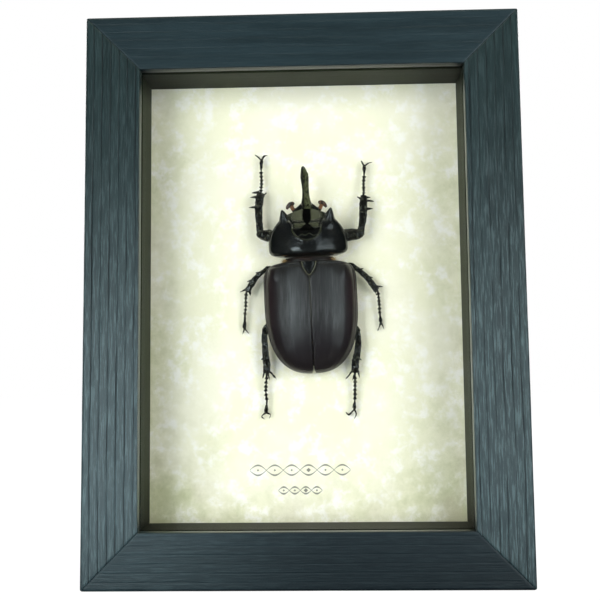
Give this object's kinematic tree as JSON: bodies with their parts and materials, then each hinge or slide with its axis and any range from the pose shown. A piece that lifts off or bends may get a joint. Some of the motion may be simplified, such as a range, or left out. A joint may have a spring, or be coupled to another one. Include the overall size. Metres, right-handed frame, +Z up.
{
  "type": "framed beetle specimen",
  "caption": "Dried rhinoceros beetle on mottled parchment in a deep glazed shadow-box frame of slate-painted wood, with a sawtooth hanger on its back.",
  "frame": {"origin": "centre of the bottom rail's underside, the face that the frame stands on", "axes": "+Z up the frame, +X to the viewer's right, +Y from the glazed front to the back that faces the wall"},
  "size_m": [0.146, 0.0326, 0.1905],
  "materials": {
    "painted_wood": "slate blue paint rubbed into open grain, satin",
    "glass": "clear, polished",
    "spacer_card": "olive-brown covered card, matt",
    "parchment": "mottled cream and pale green parchment paper on mounting board, matt",
    "hardboard": "brown hardboard, matt",
    "kraft_paper": "brown kraft paper, matt",
    "steel": "zinc-plated, satin",
    "glossy_chitin": "black, mirror gloss",
    "satin_chitin": "charcoal with a purple-brown cast at the sides, satin",
    "leg_chitin": "black, glossy",
    "brown_chitin": "red-brown, semi-gloss"
  },
  "bodies": {
    "root": {"frame_rail_bottom": "painted_wood", "frame_rail_top": "painted_wood", "frame_rail_left": "painted_wood", "frame_rail_right": "painted_wood", "glass_pane": "glass", "spacer_top": "spacer_card", "spacer_bottom": "spacer_card", "spacer_left": "spacer_card", "spacer_right": "spacer_card", "specimen_board": "parchment", "back_panel": "hardboard", "dust_cover": "kraft_paper", "sawtooth_hanger": "steel", "hanger_nail_left": "steel", "hanger_nail_right": "steel", "underbody": "brown_chitin", "elytron_left": "satin_chitin", "elytron_right": "satin_chitin", "scutellum": "glossy_chitin", "pronotum": "glossy_chitin", "head": "glossy_chitin", "antenna_left": "brown_chitin", "antenna_right": "brown_chitin", "foreleg_left": "leg_chitin", "foreleg_right": "leg_chitin", "middle_leg_left": "leg_chitin", "middle_leg_right": "leg_chitin", "hind_leg_left": "leg_chitin", "hind_leg_right": "leg_chitin"}
  },
  "joints": []
}
